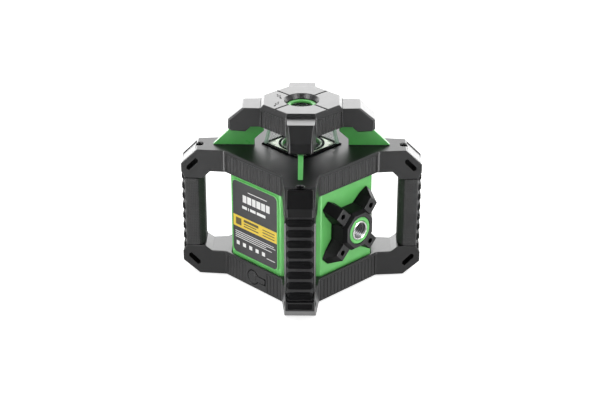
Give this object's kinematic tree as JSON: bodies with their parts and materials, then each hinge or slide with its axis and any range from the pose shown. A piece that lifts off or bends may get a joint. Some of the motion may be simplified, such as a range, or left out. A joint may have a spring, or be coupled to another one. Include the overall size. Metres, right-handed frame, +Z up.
{
  "type": "rotating laser level",
  "caption": "Rotary laser level: square body in a four-handled roll cage, glass lantern with a spinning prism head under a crown cap, threaded mounts below and at the side.",
  "frame": {"origin": "on the ground at the middle of the base", "axes": "+Z up along the rotor axis; -Y is the label face, +X the side tripod mount, -X the control panel, +Y the battery door; the handles stand on the diagonals"},
  "size_m": [0.1874, 0.1874, 0.1835],
  "materials": {
    "black_frame": "satin black moulded plastic",
    "grip_rubber": "dimpled dark grey rubber",
    "tread_rubber": "black ribbed rubber",
    "green_shell": "satin green moulded plastic",
    "fin_green": "satin darker green plastic",
    "label_film": "printed film, plain bars in place of text",
    "thread_steel": "machined",
    "screw_steel": "turned",
    "cast_alloy": "die cast",
    "lantern_clear": "clear, faint green at the edges",
    "prism_clear": "polished optical glass",
    "pale_floor": "pale green plate",
    "panel_grey": "fine texture",
    "button_rubber": "soft keys",
    "button_green": "soft key",
    "battery_wrap": "shrink wrap",
    "contact_brass": "plated",
    "board_green": "solder mask",
    "motor_can": "drawn can",
    "pulley_white": "acetal",
    "belt_rubber": "flat belt"
  },
  "bodies": {
    "case": {"lower_frame": "black_frame", "upper_frame": "black_frame", "grip_front": "grip_rubber", "grip_right": "grip_rubber", "grip_back": "grip_rubber", "grip_left": "grip_rubber", "tread_front": "tread_rubber", "tread_right": "tread_rubber", "tread_back": "tread_rubber", "tread_left": "tread_rubber", "body_housing": "green_shell", "label_plate": "label_film", "side_boss": "black_frame", "side_boss_ring": "green_shell", "side_thread_insert": "thread_steel", "base_plate": "cast_alloy", "base_thread_insert": "thread_steel", "control_panel": "panel_grey", "main_board": "board_green", "battery_pack": "battery_wrap", "battery_contacts": "contact_brass", "charge_jack": "screw_steel", "top_cap": "black_frame", "cap_ring": "green_shell", "cap_window": "lantern_clear", "fin_front": "fin_green", "fin_right": "fin_green", "fin_back": "fin_green", "fin_left": "fin_green", "lantern_glass": "lantern_clear", "lantern_floor": "pale_floor", "chassis_plate": "cast_alloy", "level_motor_x": "motor_can", "level_motor_y": "motor_can"},
    "gimbal": {"gimbal_ring": "cast_alloy"},
    "platform": {"levelling_platform": "cast_alloy", "laser_tube": "cast_alloy", "laser_diode": "contact_brass", "level_sensor": "board_green", "spin_motor": "motor_can", "drive_belt": "belt_rubber"},
    "rotor": {"rotor_head": "cast_alloy", "pentaprism": "prism_clear", "rotor_pulley": "pulley_white"},
    "motor_pulley": {"motor_pulley": "pulley_white"},
    "level_nut_x": {"level_nut_x": "pulley_white"},
    "level_nut_y": {"level_nut_y": "pulley_white"},
    "lead_screw_x": {"lead_screw_x": "screw_steel"},
    "lead_screw_y": {"lead_screw_y": "screw_steel"},
    "battery_door": {"battery_door": "black_frame"},
    "door_latch": {"door_latch": "fin_green"},
    "charge_flap": {"charge_flap": "tread_rubber"},
    "button_power": {"button_power": "button_green"},
    "button_speed": {"button_speed": "button_rubber"},
    "button_scan": {"button_scan": "button_rubber"},
    "button_manual": {"button_manual": "button_rubber"},
    "button_tilt_x": {"button_tilt_x": "button_rubber"},
    "button_vibration": {"button_vibration": "button_rubber"},
    "button_tilt_y": {"button_tilt_y": "button_rubber"}
  },
  "joints": [
    {"name": "gimbal_tilt_x", "type": "hinge", "parent": "case", "child": "gimbal", "pos_m": [0, 0, 0.1215], "axis": [1, 0, 0], "range_deg": [-5, 5]},
    {"name": "platform_tilt_y", "type": "hinge", "parent": "gimbal", "child": "platform", "pos_m": [0, 0, 0.1215], "axis": [0, 1, 0], "range_deg": [-5, 5]},
    {"name": "rotor_spin", "type": "hinge", "parent": "platform", "child": "rotor", "pos_m": [0, 0, 0.1315], "axis": [0, 0, 1], "continuous": true},
    {"name": "motor_pulley_spin", "type": "hinge", "parent": "platform", "child": "motor_pulley", "pos_m": [-0.0215, 0, 0.127], "axis": [0, 0, 1], "continuous": true},
    {"name": "nut_x_slide", "type": "slide", "parent": "case", "child": "level_nut_x", "axis": [0, 0, 1], "range_m": [-0.0046, 0.0046]},
    {"name": "nut_y_slide", "type": "slide", "parent": "case", "child": "level_nut_y", "axis": [0, 0, 1], "range_m": [-0.0046, 0.0046]},
    {"name": "lead_screw_x_turn", "type": "hinge", "parent": "case", "child": "lead_screw_x", "pos_m": [0, 0.0515, 0.09], "axis": [0, 0, 1], "range_deg": [-330, 330]},
    {"name": "lead_screw_y_turn", "type": "hinge", "parent": "case", "child": "lead_screw_y", "pos_m": [0.0515, 0, 0.085], "axis": [0, 0, 1], "range_deg": [-330, 330]},
    {"name": "battery_door_hinge", "type": "hinge", "parent": "case", "child": "battery_door", "pos_m": [0, 0.0641, 0.033], "axis": [-1, 0, 0], "range_deg": [0, 90]},
    {"name": "door_latch_slide", "type": "slide", "parent": "battery_door", "child": "door_latch", "axis": [0, 0, -1], "range_m": [0, 0.002]},
    {"name": "charge_flap_hinge", "type": "hinge", "parent": "case", "child": "charge_flap", "pos_m": [0.0161, -0.0667, 0.0131], "axis": [0, 0, 1], "range_deg": [0, 110]},
    {"name": "button_power_press", "type": "slide", "parent": "case", "child": "button_power", "axis": [1, 0, 0], "range_m": [0, 0.0008], "stiffness_N_per_m": 800},
    {"name": "button_speed_press", "type": "slide", "parent": "case", "child": "button_speed", "axis": [1, 0, 0], "range_m": [0, 0.0008], "stiffness_N_per_m": 800},
    {"name": "button_scan_press", "type": "slide", "parent": "case", "child": "button_scan", "axis": [1, 0, 0], "range_m": [0, 0.0008], "stiffness_N_per_m": 800},
    {"name": "button_manual_press", "type": "slide", "parent": "case", "child": "button_manual", "axis": [1, 0, 0], "range_m": [0, 0.0008], "stiffness_N_per_m": 800},
    {"name": "button_tilt_x_press", "type": "slide", "parent": "case", "child": "button_tilt_x", "axis": [1, 0, 0], "range_m": [0, 0.0008], "stiffness_N_per_m": 800},
    {"name": "button_vibration_press", "type": "slide", "parent": "case", "child": "button_vibration", "axis": [1, 0, 0], "range_m": [0, 0.0008], "stiffness_N_per_m": 800},
    {"name": "button_tilt_y_press", "type": "slide", "parent": "case", "child": "button_tilt_y", "axis": [1, 0, 0], "range_m": [0, 0.0008], "stiffness_N_per_m": 800}
  ],
  "couplings": [
    {"joint": "motor_pulley_spin", "follows": "rotor_spin", "ratio": 3},
    {"joint": "nut_x_slide", "follows": "gimbal_tilt_x", "m_per_rad": 0.0515},
    {"joint": "nut_y_slide", "follows": "platform_tilt_y", "m_per_rad": -0.0515},
    {"joint": "lead_screw_x_turn", "follows": "gimbal_tilt_x", "ratio": 64.7},
    {"joint": "lead_screw_y_turn", "follows": "platform_tilt_y", "ratio": -64.7}
  ]
}
